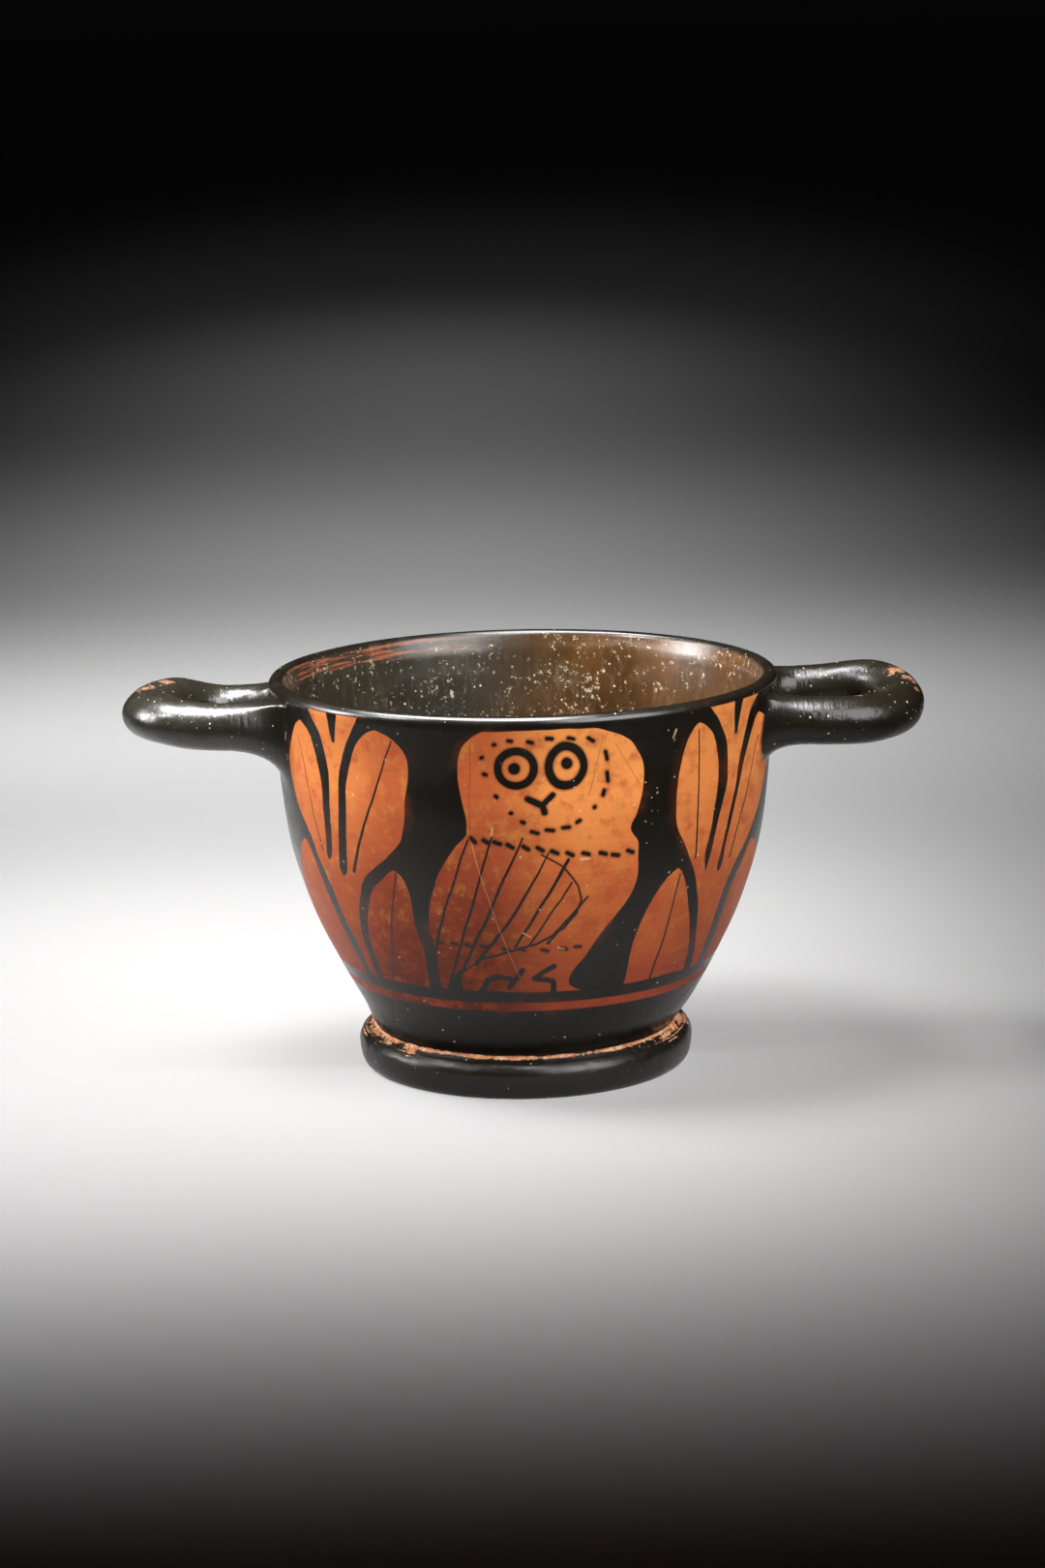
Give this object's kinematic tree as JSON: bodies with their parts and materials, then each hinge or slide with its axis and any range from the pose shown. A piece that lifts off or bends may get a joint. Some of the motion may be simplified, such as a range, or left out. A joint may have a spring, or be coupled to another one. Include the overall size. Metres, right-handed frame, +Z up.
{
  "type": "skyphos",
  "caption": "Deep ancient drinking cup of fired clay on a ring foot, with horizontal loop handles under the rim, black gloss with reserved owl and plant sprays.",
  "frame": {"origin": "on the axis of the cup, at the level that the foot stands on", "axes": "+Z up along the axis of the cup, +X through the middle of one handle, -Y towards the painted front"},
  "size_m": [0.1556, 0.0982, 0.0769],
  "materials": {
    "black_gloss_clay": "black slip gloss with reserved orange clay figures, worn at the edges"
  },
  "bodies": {
    "root": {"skyphos": "black_gloss_clay"}
  },
  "joints": []
}
